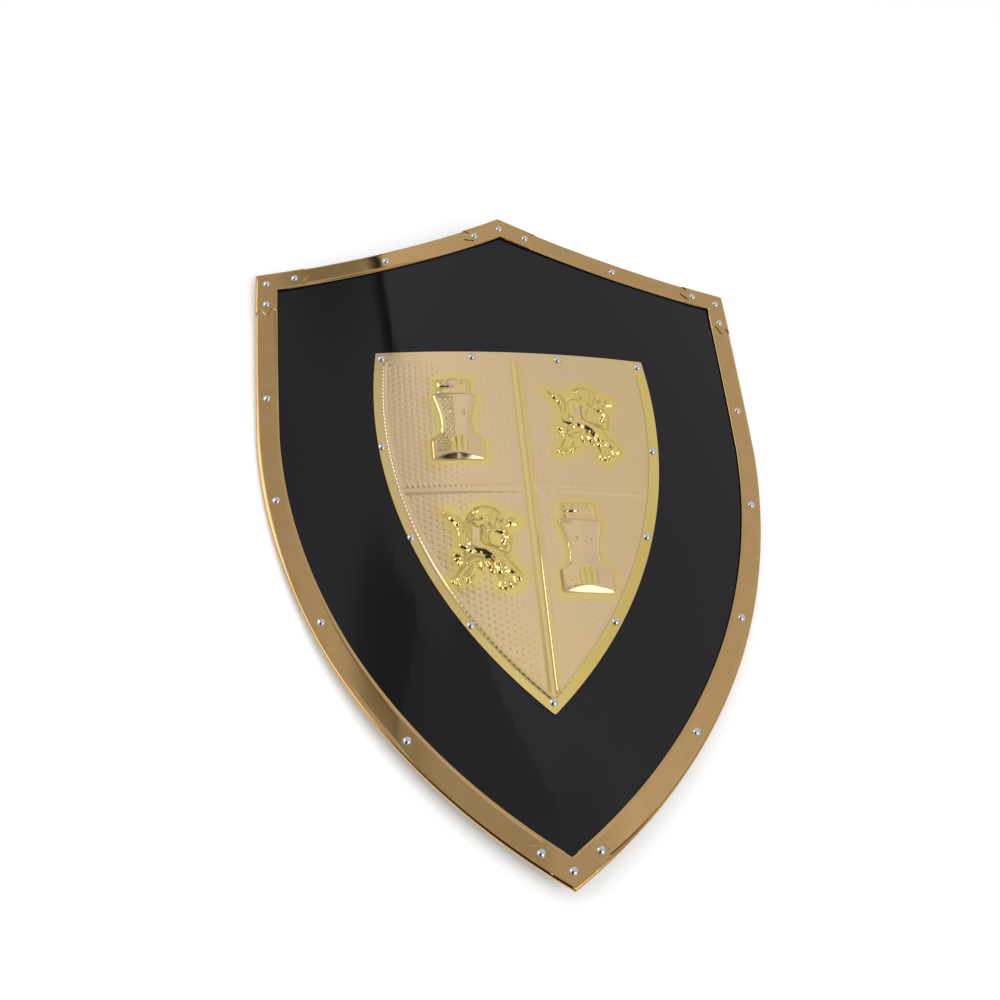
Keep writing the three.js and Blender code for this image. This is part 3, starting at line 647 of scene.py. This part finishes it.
def towerHeight(u, v):
    # height of the tower, distance outside its outline, how yellow its painted reflection is, and how much
    # painted brown shade it takes
    rows = np.array(tower["profile"])
    middle, end = tower["middle"], tower["footEnd"]
    x = np.abs(u - middle)
    inside = np.interp(v, rows[:, 0], rows[:, 1]) - x
    # the foot swells out and ends below in a ledge cut back along a bowed line, steeper on the right
    bow = np.clip(1 - (x / tower["footHalf"]) ** 2, 0, 1)
    lower = smooth((tower["swellFrom"] - v) / tower["swellReach"])
    high, low = tower["ledgeHeight"]
    swell = tower["height"] * (1 - lower) + (low + (high - low) * bow) * lower
    deep, shallow = tower["ledgeDepth"]
    steeper = 1 + tower["ledgeSteeper"] * smooth((u - middle - 1) / 12)
    ledge = np.clip((v - end) / (shallow + (deep - shallow) * bow) * steeper, 0, 1)
    # three merlons, the middle one rounded
    half = tower["middleHalf"]
    rounded = tower["middleTop"] - (x / half) ** 2 * tower["middleRound"]
    merlonTop = np.where(x < half, rounded, tower["merlonTop"])
    gap = smooth((tower["gapHalf"] - np.abs(x - tower["gapAt"])) / 0.8) * smooth((v - tower["gapFoot"]) / 1.5)
    crown = np.sin(np.clip((merlonTop - v) / tower["crown"], 0, 1) * np.pi / 2)
    # the parapet's walls are rounded, the foot's steep, and the shaft has a chamfer on its left
    shaft = smooth((v + 256) / 8) * smooth((-213 - v) / 2)
    atFoot = smooth((-259 - v) / 4)
    lean = tower["softWall"] + (tower["footWall"] - tower["softWall"]) * atFoot
    wall = np.sin(np.clip(inside / lean, 0, 1) * np.pi / 2)
    chamfer = np.clip(inside / tower["chamfer"], 0, 1)
    wall += (chamfer - wall) * shaft * smooth((middle - u) / 4)
    height = swell * wall * ledge * crown * (1 - tower["gapShare"] * gap)
    for foot, footSoft, top, topSoft, sides, sideSoft, rise in tower["mouldings"]:
        across = smooth((inside - sides) / sideSoft)
        height += rise * smooth((v - foot) / footSoft) * smooth((top - v) / topSoft) * across
    # the dent tips the parapet down to its lower left, so that it mirrors dark there
    dentU, dentV = u - tower["dent"]["at"][0], v - tower["dent"]["at"][1]
    long, short = tower["dent"]["reach"]
    dent = ridge(0.97 * dentU + 0.23 * dentV, long) * ridge(0.97 * dentV - 0.23 * dentU, short)
    height += tower["dent"]["steep"] * (0.45 * dentU + 0.89 * dentV) * dent
    # the left face is cut back, as on an eight-sided tower
    cut = tower["face"]
    face = smooth((cut["edge"] - u) / 1.5) * smooth((cut["top"] - v) / 3)
    height -= cut["slope"] * np.clip(cut["edge"] - u, 0, cut["reach"]) * face * ledge
    door = tower["door"]
    across = np.abs(u - door["middle"]) / door["half"]
    arch = door["spring"] + door["arch"] * np.sqrt(np.clip(1 - across ** 2, 0, 1))
    opening = smooth((1 - across) / 0.2) * smooth((v - door["foot"]) / 1.5) * smooth((arch - v) / 1.5)
    posts = sum(ridge(u - place, 0.9) for place in tower["posts"])
    height -= door["depth"] * opening * (1 + posts)
    wide, tall = tower["windowReach"]
    for a, b in tower["windows"]:
        height -= tower["windowDepth"] * ridge(u - a, wide) * ridge(v - b, tall)
    # courses of brick, staggered, on the left face and round the foot
    brick = tower["brick"]
    level = (v + 300) / brick["course"]
    course = np.floor(level)
    joint = ridge((level - course - 0.5) * brick["course"], brick["joint"])
    place = (u + course * brick["stagger"]) / brick["length"]
    head = ridge((place % 1 - 0.5) * brick["length"], brick["head"])
    bricks = smooth((inside - 3) / 2) * (1 - opening) * smooth((-216 - v) / 3) * smooth((v + 275) / 3)
    bricks *= np.maximum(smooth((-57 - u) / 6), 0.3)
    height -= brick["depth"] * np.maximum(joint, head) * bricks
    beyond = np.maximum(v - merlonTop, end - v)
    outside = np.hypot(np.maximum(-inside, 0), np.maximum(beyond, 0))
    outside = np.where(outside > 0, outside, np.maximum(-inside, beyond))
    # painted reflection: yellow in the door, on the left face, on the parapet's ends and along the outline
    parapet = smooth((v + 214) / 2) * (1 - smooth((6 - x) / 3) * smooth((v + 209) / 3))
    rimmed = smooth(1 + (outside - 0.5) / 3.4) * (ledge > 0.99)
    yellow = np.maximum(np.maximum(0.8 * opening, 0.3 * face), np.maximum(0.5 * parapet, 0.8 * rimmed))
    # painted shade: brown outlines the tower and the door, and lies thick beside the foot's left wall, where
    # it dulls a highlight
    outline = 0.22 * ridge(outside - 0.6, 0.6) * smooth((v + 281) / 2)
    doorEdge = 0.35 * ridge((1 - across) * door["half"], 0.7) * (v < arch + 1) * (v > door["foot"])
    footEdge = 0.6 * ridge(inside - 0.5, 1.1) * atFoot * (u < middle) * (ledge > 0.99)
    shelf = 0.35 * ridge(v + 213.6, 0.7) * (inside > 0)
    creaseShade = np.max([outline, doorEdge, footEdge, 0.3 * opening * np.minimum(posts, 1), shelf], 0)
    return height, outside, yellow * smooth((ledge - 0.9) / 0.1), creaseShade * (ledge > 0.5)


def plateRelief(u, v):
    # height above the plate's face, how yellow its painted reflection is, and how much painted brown shade it
    # takes
    depth = plateDepth(u, v)
    x = np.abs(u - bars["centre"])
    # a fine bead runs inside the margin: beaded and low above, fuller and smoother beside the lower lion,
    # sharper below, and it fades out along the top
    lower = smooth((border["sharpFrom"] - v) / border["sharpReach"])
    fuller = ridge(v - border["fullAt"], border["fullReach"]) * (u < 0)
    beat = 1 + (0.4 - 0.25 * lower) * (1 - 0.6 * fuller) * np.sin(v * 2 * np.pi / border["beat"])
    bead = ridge(depth - border["inset"], border["width"] + border["fullGain"] * fuller)
    bead *= (1 - 0.9 * smooth((v - border["topEnd"]) / 6)) * np.where(u > 0, border["rightShare"], 1.0)
    height = border["height"] * (0.6 + 0.4 * lower + 0.25 * fuller) * beat * bead
    inBead = smooth((depth - border["inset"]) / 1.5)
    bar = smooth((bars["half"] - x) / (bars["half"] - bars["flat"])) * inBead
    # the rib beside the bar's middle grows sharper towards the tip
    offset = u - bars["rib"]
    flank = np.where(offset < 0, bars["ribFlanks"][0], bars["ribFlanks"][1])
    rib = (bars["ribHeight"] + bars["ribGain"] * lower) * (1 - smooth(np.abs(offset) / flank)) * inBead
    cross = smooth((bars["crossTop"] + 0.8 - v) / 1.6) * smooth((v - bars["crossFoot"] + 0.8) / 1.6)
    cross *= smooth((bars["crossReach"] - np.abs(u)) / 2) * (1 - bar)
    stitch = ridge(v - bars["crossTop"], 0.9) * (np.abs(u) < bars["crossReach"]) * (1 - bar)
    stitch *= 0.35 + 0.65 * smooth(0.5 + 0.8 * np.sin(u * 2 * np.pi / bars["stitch"]))
    height = np.maximum(height, bars["height"] * bar + rib)
    height = np.maximum(height, bars["crossHeight"] * cross + bars["stitchHeight"] * stitch)
    # painted reflection: the margin is painted yellow at the cut edge, and on the left rosier beside the bead
    right = smooth((u + 20) / 60)
    inMargin = smooth((border["inset"] + 1.5 - depth) / 2) * (1 - 0.8 * smooth((v + 178) / 6))
    rosy = (1 - right) * smooth((depth - margin["rosyFrom"]) / 2) * smooth((v - margin["rosyFoot"]) / 60)
    reflectedYellow = (margin["yellow"] + margin["rightGain"] * right - margin["rosy"] * rosy) * inMargin
    # painted reflection: the bar is painted yellow along its sides, and the ground turns yellow to the right
    # and towards the tip
    stripes = np.max([smooth(1.4 - np.abs(u - line) / 2.8) for line in bars["stripes"]], 0)
    reflectedYellow = np.maximum(reflectedYellow, np.maximum(0.6 * stripes, 0.35 * bar) * inBead)
    start, reach, gain = ground["right"]
    toRight = gain * smooth((u - start) / reach)
    start, reach, gain = ground["tip"]
    reflectedYellow = np.maximum(reflectedYellow, ground["yellow"] + toRight + gain * smooth((start - v) / reach))
    # painted shade: brown is painted inside the bead and over the margin on the right, more towards the tip,
    # and in two lines along the bar
    creaseShade = 0.35 * right * ridge(depth - border["inset"] - 0.8, 0.7) * (v < border["topEnd"])
    creaseShade = np.maximum(creaseShade, 0.14 * right * inMargin * smooth((-300 - v) / 80))
    for line in bars["shadeLines"]:
        creaseShade = np.maximum(creaseShade, 0.3 * inBead * ridge(u - line, 0.7))
    nearest = np.full(u.shape, 1e9)
    for kind, measure in (("tower", towerHeight), ("lion", lionHeight)):
        reach, strength = halo[kind]
        for shiftU, shiftV in ((0.0, 0.0), quarterShift[kind]):
            rise, outside, yellow, brownShade = measure(u - shiftU, v - shiftV)
            # each figure brings its painted yellow reflection, a painted yellow halo round it, and its
            # painted brown shade
            height = np.maximum(height, np.where(outside < 0, rise, 0))
            reflectedYellow = np.maximum(reflectedYellow, np.where(outside < 0, yellow * 0.9, 0))
            reflectedYellow = np.maximum(reflectedYellow, strength * ridge(outside, reach) * (outside > 0))
            creaseShade = np.maximum(creaseShade, brownShade)
            nearest = np.minimum(nearest, outside)
    # the ground swells a little round each figure, and is stippled by a staggered punch
    height += halo["swell"] * smooth(1 - np.maximum(nearest, 0) / halo["swellReach"])
    row = np.round((v - plate["top"]) / stipple["down"])
    column = u / stipple["across"] + 0.5 * (row % 2)
    du = (column - np.round(column)) * stipple["across"]
    dv = v - plate["top"] - row * stipple["down"]
    punch = ridge(np.hypot(du, dv), stipple["radius"])
    plain = smooth((depth - 12) / 2) * smooth((nearest - 2) / 3) * smooth((x - 7) / 1.5)
    plain *= 1 - smooth(cross * 2 + stitch * 2)
    height -= stipple["depth"] * punch * plain
    return height, np.clip(reflectedYellow, 0, 1), creaseShade


def makePlate():
    du, dv = plate["columnStep"], plate["rowStep"]
    columns = 2 * math.ceil(plate["gridHalf"] / du) + 1
    rows = round((plate["top"] - plate["tip"]) / dv) + 1
    bpy.ops.mesh.primitive_grid_add(x_subdivisions=columns - 1, y_subdivisions=rows - 1, size=0.1)
    sheet = bpy.context.object
    place = (coordinates(sheet) + 0.05) / 0.1
    u = (np.round(place[:, 0] * (columns - 1)) - (columns - 1) / 2) * du
    v = plate["top"] - (rows - 1 - np.round(place[:, 1] * (rows - 1))) * dv
    setCoordinates(sheet, np.stack([u, v, np.full(u.shape, plate["face"])], 1) * mm)
    # what lies outside the outline goes, and the new edge is drawn onto the outline
    keep = np.abs(u) <= halfWidth(v) - du * 0.25
    sheet.data.vertices.foreach_set("select", ~keep)
    bpy.ops.object.mode_set(mode="EDIT")
    bpy.ops.mesh.select_mode(type="VERT")
    bpy.ops.object.mode_set(mode="OBJECT")
    sheet.data.polygons.foreach_set("select", np.zeros(len(sheet.data.polygons), bool))
    sheet.data.edges.foreach_set("select", np.zeros(len(sheet.data.edges), bool))
    sheet.data.vertices.foreach_set("select", ~keep)
    bpy.ops.object.mode_set(mode="EDIT")
    bpy.ops.mesh.delete(type="VERT")
    bpy.ops.mesh.select_all(action="DESELECT")
    bpy.ops.mesh.select_non_manifold()
    bpy.ops.object.mode_set(mode="OBJECT")
    chosen = np.zeros(len(sheet.data.vertices), bool)
    sheet.data.vertices.foreach_get("select", chosen)
    points = coordinates(sheet) / mm
    for i in np.nonzero(chosen)[0]:
        u, v = points[i, :2]
        if v > plate["top"] - dv * 0.5:
            continue
        near = np.argmin((plateEdge[:, 0] - abs(u)) ** 2 + (plateEdge[:, 1] - v) ** 2)
        points[i, :2] = math.copysign(plateEdge[near, 0], u), plateEdge[near, 1]
    topRow = np.nonzero(points[:, 1] > plate["top"] - dv * 0.5)[0]
    for i in (topRow[np.argmax(points[topRow, 0])], topRow[np.argmin(points[topRow, 0])]):
        points[i, 0] = math.copysign(plate["half"], points[i, 0])
    setCoordinates(sheet, points * mm)
    bpy.ops.object.mode_set(mode="EDIT")
    bpy.ops.mesh.extrude_edges_move(TRANSFORM_OT_translate={
        "value": (0, 0, (plate["under"] - plate["face"]) * mm)})
    bpy.ops.mesh.edge_face_add()
    reach = int(plate["half"] / plate["backStrip"])
    # the back is cut into strips, which bend with the front
    for i in range(-reach, reach + 1):
        bpy.ops.object.mode_set(mode="OBJECT")
        low = np.array([p.center[2] < (plate["under"] + 0.1) * mm for p in sheet.data.polygons])
        sheet.data.polygons.foreach_set("select", low)
        bpy.ops.object.mode_set(mode="EDIT")
        bpy.ops.mesh.select_mode(type="FACE")
        cut = (i * plate["backStrip"] + plate["backShift"]) * mm
        bpy.ops.mesh.bisect(plane_co=(cut, 0, 0), plane_no=(1, 0, 0))
    bpy.ops.mesh.select_all(action="SELECT")
    bpy.ops.mesh.normals_make_consistent(inside=False)
    bpy.ops.object.mode_set(mode="OBJECT")
    points = coordinates(sheet) / mm
    onFront = points[:, 2] > (plate["under"] + plate["face"]) / 2
    height, reflectedYellow, creaseShade = plateRelief(points[:, 0], points[:, 1])
    points[onFront, 2] += height[onFront]
    for name, values, behind in (("reflectedYellow", reflectedYellow, 0.3), ("creaseShade", creaseShade, 0.0)):
        attribute = sheet.data.attributes.new(name, "FLOAT", "POINT")
        attribute.data.foreach_set("value", np.where(onFront, values, behind))
    setCoordinates(sheet, bend(points))
    print("plate triangles", sum(len(p.vertices) - 2 for p in sheet.data.polygons))
    finishPiece(sheet, "facePlate", giltPressing, ["face_plate"], 60)


makePlate()
print("plate made")

# Rivets: a flattened tail, a shank through the sheets and a domed head
rivet = {
    "tail": (2.7, -2.35), "tailTop": -1.25, "tailFoot": 0.8, "tailEdge": 0.25, "shank": 1.6,
    "seat": 1.12, "capSeat": 1.92, "sides": 28, "turn": 2.4,
    # (radius, height over the seat) up the head
    "head": [
        (3.4, 0.0), (3.55, 0.2), (3.45, 0.6), (3.2, 1.05), (2.8, 1.47), (2.25, 1.83), (1.55, 2.1),
        (0.8, 2.25), (0.25, 2.3),
    ],
}
rivetPlaces = {
    "depth": 10.0, "top": (33.0, 125.0, topLength - 36.0),
    "side": (36.0, 143.5, 252.0, 377.0, 501.5, sideLength - 35.0),
    "corner": (228.0, -74.0), "peak": (0.0, -13.3), "tip": (0.0, -637.0),
    # which of the pairs down the rim sit on a corner piece
    "capped": (0, 2, 3, 4, 9),
    "plate": (
        (-122.3, -171.3), (123.2, -171.3), (-39.1, -170.7), (42.3, -171.2), (-125.6, -266.4),
        (122.9, -266.0), (-104.9, -357.3), (102.6, -356.0), (-60.9, -439.3), (61.4, -437.6), (0.0, -507.0),
    ),
}


def modelRivet():
    # one rivet, grown upwards from its tail by extruding and scaling the top face
    tail, low = rivet["tail"]
    now = tail * rivet["tailFoot"]
    steps = [(tail, low + rivet["tailEdge"]), (tail, rivet["tailTop"]), (rivet["shank"], rivet["tailTop"]),
             (rivet["shank"], rivet["seat"])] + [(r, rivet["seat"] + h) for r, h in rivet["head"]]
    bpy.ops.mesh.primitive_circle_add(
        vertices=rivet["sides"], radius=now * mm, fill_type="NGON", location=(0, 0, low * mm))
    model = bpy.context.object
    bpy.ops.object.transform_apply(location=True, rotation=False, scale=False)
    bpy.ops.object.mode_set(mode="EDIT")
    bpy.ops.mesh.select_all(action="SELECT")
    for radius, high in steps:
        bpy.ops.mesh.extrude_region_move(TRANSFORM_OT_translate={"value": (0, 0, (high - low) * mm)})
        bpy.ops.transform.resize(value=(radius / now, radius / now, 1), center_override=(0, 0, high * mm))
        now, low = radius, high
    bpy.ops.mesh.select_all(action="SELECT")
    bpy.ops.mesh.normals_make_consistent(inside=False)
    bpy.ops.object.mode_set(mode="OBJECT")
    return model


def placeRivet(model, number, family, centre, capped):
    # each copy has its own mesh and is turned a little; on a corner piece the head sits higher
    copy = model.copy()
    copy.data = model.data.copy()
    bpy.context.collection.objects.link(copy)
    points = coordinates(copy) / mm
    points[points[:, 2] > 0, 2] += (rivet["capSeat"] - rivet["seat"]) if capped else 0
    u, v = centre
    foot, up = bend([(u, v, 0.0)])[0], bend([(u, v, 1.0)])[0]
    right = bend([(u + 1.0, v, 0.0)])[0] - foot
    up = (up - foot) / np.linalg.norm(up - foot)
    right = right - up * right.dot(up)
    right /= np.linalg.norm(right)
    ahead = np.cross(up, right)
    turn = number * rivet["turn"]
    axes = np.array([right * math.cos(turn) + ahead * math.sin(turn),
                     ahead * math.cos(turn) - right * math.sin(turn), up])
    setCoordinates(copy, foot + points * mm @ axes)
    name = f"rivet_{family}_{number:02d}"
    finishPiece(copy, name, nickelPlate, [name], 35)


def makeRivets():
    model = modelRivet()
    pairs = [topAt(s, rivetPlaces["depth"]) for s in rivetPlaces["top"]] + [rivetPlaces["corner"]]
    pairs += [sideAt(s, rivetPlaces["depth"]) for s in rivetPlaces["side"]]
    number = 0
    for i, (u, v) in enumerate(pairs):
        for side in (-1, 1):
            number += 1
            placeRivet(model, number, "rim", (side * u, v), i in rivetPlaces["capped"])
    for place in ("peak", "tip"):
        number += 1
        placeRivet(model, number, "rim", rivetPlaces[place], True)
    for number, centre in enumerate(rivetPlaces["plate"], 1):
        placeRivet(model, number, "plate", centre, False)
    bpy.data.objects.remove(model)


makeRivets()
print("rivets made")

# Studio: a pale floor, soft light all round, and what a polished shield mirrors in it
studio = {
    "floor": "f4f4f4", "floorSize": 12.0, "floorRoughness": 0.9, "floorShine": 0.1, "floorGlow": 0.12,
    "seen": 1.0, "room": 0.53,
    # what only reflections and light see, each laid over the ones before:
    # azimuth, elevation, radius, softness in degrees, brightness
    "cards": [
        (-155, 73, 14, 8, 0.61),            # paler ceiling behind
        (-159, 67.5, 4.0, 3.5, 0.20),       # dark corner high on the left
        (66.2, 43.7, 62.0, 0.5, 0.20),      # dark joint, then the other half of the room
        (66.2, 43.7, 61.3, 0.4, 0.38),
        (66.2, 43.7, 57.0, 3.0, 0.48),
        (-163, 45, 5, 4, 0.30),             # dark patch behind
        (142.6, 36.7, 36.8, 0.8, 0.01),     # dark edge of the bright wall, paler at its foot, then the wall
        (160, 71.5, 7.5, 5.0, 0.47),
        (142.6, 36.7, 35.35, 0.15, 0.76),
        (142.6, 36.7, 20.0, 16.0, 0.62),
        (-171, 58.8, 3.6, 0.8, 0.60),       # what juts out from the wall
        (-172, 62, 4.2, 0.8, 0.60),
        (-177, 66.0, 3.3, 0.8, 0.60),
        (119, 71.5, 4.5, 2.5, 0.60),
        (-30, 64, 16.5, 4, 0.03),           # black card overhead at the front
        (35, 46, 22, 4, 1.85),              # white cards right and left of the front
        (-123, 30, 13, 5, 2.1),
        (-124, 43, 8, 3, 2.1),
        (-94, 38, 13, 4, 2.1),
        (-41, 48, 27, 4, 0.03),             # black cards at the front
        (-25, 22, 20, 5, 0.05),
    ],
}


def makeFloor():
    # matt white card, which takes a soft shadow and no glare
    bpy.ops.mesh.primitive_plane_add(size=studio["floorSize"], location=(0, 0, 0))
    floor = bpy.context.object
    floor.name = "floor"
    material, _, shader = newMaterial("paleFloor")
    shader.inputs["Base Color"].default_value = hexColour(studio["floor"])
    shader.inputs["Roughness"].default_value = studio["floorRoughness"]
    shader.inputs["Specular IOR Level"].default_value = studio["floorShine"]
    shader.inputs["Emission Color"].default_value = (1, 1, 1, 1)
    shader.inputs["Emission Strength"].default_value = studio["floorGlow"]
    floor.data.materials.append(material)


def direction(azimuth, elevation):
    # azimuth 0 looks along -Y and grows towards +X
    a, e = math.radians(azimuth), math.radians(elevation)
    return (math.sin(a) * math.cos(e), -math.cos(a) * math.cos(e), math.sin(e))


def makeWorld():
    world = bpy.data.worlds.new("studio")
    bpy.context.scene.world = world
    world.use_nodes = True
    tree = world.node_tree
    tree.nodes.clear()
    way = addNode(tree, "ShaderNodeTexCoord", {}, {})
    room = addNode(tree, "ShaderNodeRGB", {}, {})
    room.outputs[0].default_value = (studio["room"],) * 3 + (1,)
    colour = room.outputs[0]
    for azimuth, elevation, size, softness, brightness in studio["cards"]:
        dot = addNode(tree, "ShaderNodeVectorMath", {"operation": "DOT_PRODUCT"}, {
            0: way.outputs["Generated"], 1: direction(azimuth, elevation)})
        mask = addNode(tree, "ShaderNodeMapRange", {"interpolation_type": "SMOOTHSTEP"}, {
            "Value": dot.outputs["Value"], "From Min": math.cos(math.radians(size + softness)),
            "From Max": math.cos(math.radians(size - softness))})
        card = addNode(tree, "ShaderNodeMix", {"data_type": "RGBA"}, {
            "Factor": mask.outputs["Result"], 6: colour, 7: (brightness,) * 3 + (1,)})
        colour = card.outputs[2]
    path = addNode(tree, "ShaderNodeLightPath", {}, {})
    shown = addNode(tree, "ShaderNodeMix", {"data_type": "RGBA"}, {
        "Factor": path.outputs["Is Camera Ray"], 6: colour, 7: (studio["seen"],) * 3 + (1,)})
    back = addNode(tree, "ShaderNodeBackground", {}, {"Color": shown.outputs[2], "Strength": 1.0})
    addNode(tree, "ShaderNodeOutputWorld", {}, {"Surface": back.outputs[0]})


lamps = {
    "keyLamp": {"place": (0.9, -1.1, 1.7), "size": 1.2, "power": 14.0},
    "topLamp": {"place": (-0.2, 0.3, 2.4), "size": 2.4, "power": 16.0},
}


def makeLamps():
    for name, lamp in lamps.items():
        bpy.ops.object.light_add(type="AREA", location=lamp["place"])
        light = bpy.context.object
        light.name = name
        light.data.size = lamp["size"]
        light.data.energy = lamp["power"]
        light.rotation_euler = (-Vector(lamp["place"])).to_track_quat("-Z", "Y").to_euler()
        light.visible_glossy = False


camera = {
    "place": (-0.22087281, -0.50726091, 0.86095424), "turn": (31.93036480, -9.87698739, -5.48318895),
    "lens": 41.4789,
}


def makeCamera():
    bpy.ops.object.camera_add(location=camera["place"], rotation=[math.radians(a) for a in camera["turn"]])
    view = bpy.context.object
    view.data.lens = camera["lens"]
    view.data.sensor_width = 36
    view.data.clip_start = 0.01
    bpy.context.scene.camera = view


makeFloor()
makeWorld()
makeLamps()
makeCamera()
bpy.context.scene.view_settings.view_transform = "Standard"
print("studio made")
